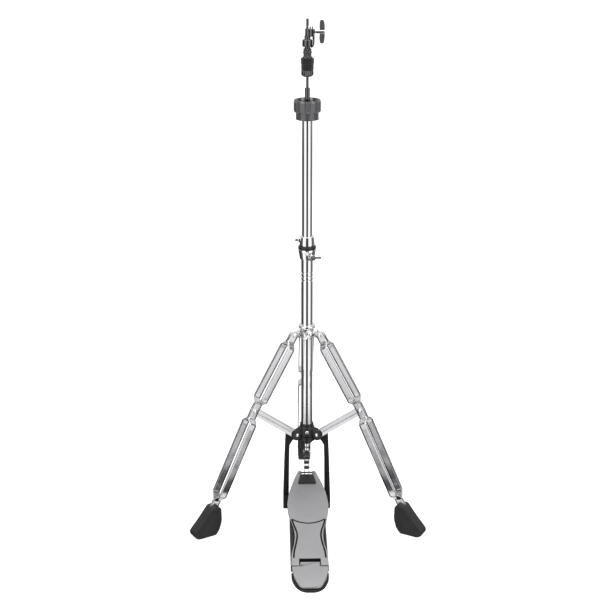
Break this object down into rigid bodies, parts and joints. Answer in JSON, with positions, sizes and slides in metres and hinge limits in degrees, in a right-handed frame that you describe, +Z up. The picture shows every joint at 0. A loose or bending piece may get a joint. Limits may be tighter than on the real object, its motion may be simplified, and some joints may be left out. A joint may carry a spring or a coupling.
{
  "type": "hi-hat stand",
  "caption": "Folding tripod hi-hat stand with a chain-driven footboard, a sprung pull rod, a telescopic column with a cymbal seat, and a clutch on the rod.",
  "frame": {"origin": "the column's axis on the floor, on the base plate's underside", "axes": "+Z up the column; -Y along the pedal towards the heel; +X to the right seen from the heel"},
  "size_m": [0.5116, 0.6575, 1.089],
  "materials": {
    "chrome": "polished chrome plating on steel",
    "black_steel": "satin black powder coat",
    "silver_paint": "fine silver-grey paint on a casting",
    "rubber": "matt moulded rubber",
    "nylon": "moulded nylon",
    "grey_plastic": "moulded grey plastic",
    "felt": "pressed wool felt",
    "dark_steel": "black nickel plating",
    "spring_steel": "drawn spring wire"
  },
  "bodies": {
    "stand_base": {"base_tube": "chrome", "tube_bush": "nylon", "height_clamp": "chrome", "lower_hub": "black_steel", "hub_screw": "chrome", "hub_rivet_front_left": "chrome", "hub_rivet_front_right": "chrome", "hub_rivet_rear": "chrome", "pedal_frame": "black_steel", "base_plate": "black_steel", "heel_plate": "silver_paint", "heel_rubber": "rubber", "heel_pin": "dark_steel", "return_spring": "spring_steel"},
    "strut_rear": {"strut_rear": "chrome"},
    "leg_rear": {"strip_rear_left": "chrome", "strip_rear_right": "chrome", "knee_rivet_rear": "chrome", "lug_rivet_rear": "chrome", "boot_rear": "rubber"},
    "strut_front_left": {"strut_front_left": "chrome"},
    "leg_front_left": {"strip_front_left_left": "chrome", "strip_front_left_right": "chrome", "knee_rivet_front_left": "chrome", "lug_rivet_front_left": "chrome", "boot_front_left": "rubber"},
    "strut_front_right": {"strut_front_right": "chrome"},
    "leg_front_right": {"strip_front_right_left": "chrome", "strip_front_right_right": "chrome", "knee_rivet_front_right": "chrome", "lug_rivet_front_right": "chrome", "boot_front_right": "rubber"},
    "tripod_collar": {"tripod_collar": "chrome"},
    "collar_wing_bolt": {"collar_wing_bolt": "chrome"},
    "height_wing_bolt": {"height_wing_bolt": "chrome"},
    "upper_column": {"upper_tube": "chrome", "seat_cup": "grey_plastic", "cup_stem": "chrome"},
    "memory_lock": {"memory_lock": "chrome"},
    "memory_lock_screw": {"memory_lock_screw": "chrome"},
    "footboard": {"footboard": "silver_paint", "toe_stop": "rubber", "toe_pin": "dark_steel"},
    "pull_rod": {"pull_rod": "chrome", "rod_collar": "dark_steel", "clevis": "chrome", "clevis_pin": "dark_steel"},
    "chain": {"chain_link_1": "dark_steel", "chain_link_2": "dark_steel", "chain_link_3": "dark_steel", "chain_link_4": "dark_steel"},
    "clutch": {"clutch_body": "dark_steel", "clutch_strap": "black_steel", "lock_nut_lower": "chrome", "lock_nut_upper": "chrome", "clutch_felt_lower": "felt", "clutch_felt_upper": "felt"},
    "clutch_wing_bolt": {"clutch_wing_bolt": "dark_steel"},
    "clutch_bottom_nut": {"clutch_bottom_nut": "chrome"}
  },
  "joints": [
    {"name": "strut_fold_rear", "type": "hinge", "parent": "stand_base", "child": "strut_rear", "pos_m": [0, 0.0268, 0.184], "axis": [1, 0, 0], "range_deg": [0, 27]},
    {"name": "knee_fold_rear", "type": "hinge", "parent": "strut_rear", "child": "leg_rear", "pos_m": [0, 0.13232, 0.26497], "axis": [-1, 0, 0], "range_deg": [0, 43.55]},
    {"name": "strut_fold_front_left", "type": "hinge", "parent": "stand_base", "child": "strut_front_left", "pos_m": [-0.02321, -0.0134, 0.184], "axis": [-0.5, 0.866, 0], "range_deg": [0, 27]},
    {"name": "knee_fold_front_left", "type": "hinge", "parent": "strut_front_left", "child": "leg_front_left", "pos_m": [-0.11459, -0.06616, 0.26497], "axis": [0.5, -0.866, 0], "range_deg": [0, 43.55]},
    {"name": "strut_fold_front_right", "type": "hinge", "parent": "stand_base", "child": "strut_front_right", "pos_m": [0.02321, -0.0134, 0.184], "axis": [-0.5, -0.866, 0], "range_deg": [0, 27]},
    {"name": "knee_fold_front_right", "type": "hinge", "parent": "strut_front_right", "child": "leg_front_right", "pos_m": [0.11459, -0.06616, 0.26497], "axis": [0.5, 0.866, 0], "range_deg": [0, 43.55]},
    {"name": "collar_slide", "type": "slide", "parent": "stand_base", "child": "tripod_collar", "axis": [0, 0, 1], "range_m": [0, 0.06095]},
    {"name": "collar_wing_turn", "type": "hinge", "parent": "tripod_collar", "child": "collar_wing_bolt", "pos_m": [0.00374, -0.01761, 0.4246], "axis": [0.2079, -0.9781, 0], "range_deg": [-30, 180]},
    {"name": "height_wing_turn", "type": "hinge", "parent": "stand_base", "child": "height_wing_bolt", "pos_m": [0.0106, -0.01696, 0.594], "axis": [0.5299, -0.848, 0], "range_deg": [-30, 180]},
    {"name": "height_slide", "type": "slide", "parent": "stand_base", "child": "upper_column", "axis": [0, 0, 1], "range_m": [-0.14, 0]},
    {"name": "memory_lock_slide", "type": "slide", "parent": "upper_column", "child": "memory_lock", "axis": [0, 0, 1], "range_m": [0, 0.14]},
    {"name": "memory_screw_turn", "type": "hinge", "parent": "memory_lock", "child": "memory_lock_screw", "pos_m": [-0.02, 0, 0.629], "axis": [-1, 0, 0], "range_deg": [-30, 180]},
    {"name": "pedal_press", "type": "hinge", "parent": "stand_base", "child": "footboard", "pos_m": [0, -0.2975, 0.019], "axis": [-1, 0, 0], "range_deg": [0, 4.25], "stiffness_Nm_per_rad": 60, "springref_deg": -8.02},
    {"name": "rod_slide", "type": "slide", "parent": "stand_base", "child": "pull_rod", "axis": [0, 0, -1], "range_m": [0, 0.02242], "deforming": ["return_spring"]},
    {"name": "chain_swing", "type": "hinge", "parent": "pull_rod", "child": "chain", "pos_m": [0, 0, 0.1351], "axis": [1, 0, 0], "range_deg": [0, 4.56]},
    {"name": "clutch_slide", "type": "slide", "parent": "pull_rod", "child": "clutch", "axis": [0, 0, 1], "range_m": [-0.022, 0.012]},
    {"name": "clutch_wing_turn", "type": "hinge", "parent": "clutch", "child": "clutch_wing_bolt", "pos_m": [0.02, 0, 1.0628], "axis": [1, 0, 0], "range_deg": [-30, 180]},
    {"name": "bottom_nut_turn", "type": "hinge", "parent": "clutch", "child": "clutch_bottom_nut", "pos_m": [0, 0, 0.98], "axis": [0, 0, -1], "range_deg": [0, 350]}
  ],
  "couplings": [
    {"joint": "knee_fold_rear", "follows": "strut_fold_rear", "ratio": 1.6124},
    {"joint": "strut_fold_front_left", "follows": "strut_fold_rear", "ratio": 1},
    {"joint": "knee_fold_front_left", "follows": "strut_fold_rear", "ratio": 1.6124},
    {"joint": "strut_fold_front_right", "follows": "strut_fold_rear", "ratio": 1},
    {"joint": "knee_fold_front_right", "follows": "strut_fold_rear", "ratio": 1.6124},
    {"joint": "collar_slide", "follows": "strut_fold_rear", "m_per_rad": 0.12929},
    {"joint": "memory_lock_slide", "follows": "height_slide", "ratio": -1},
    {"joint": "rod_slide", "follows": "pedal_press", "m_per_rad": 0.3018},
    {"joint": "chain_swing", "follows": "pedal_press", "ratio": 1.0683}
  ]
}
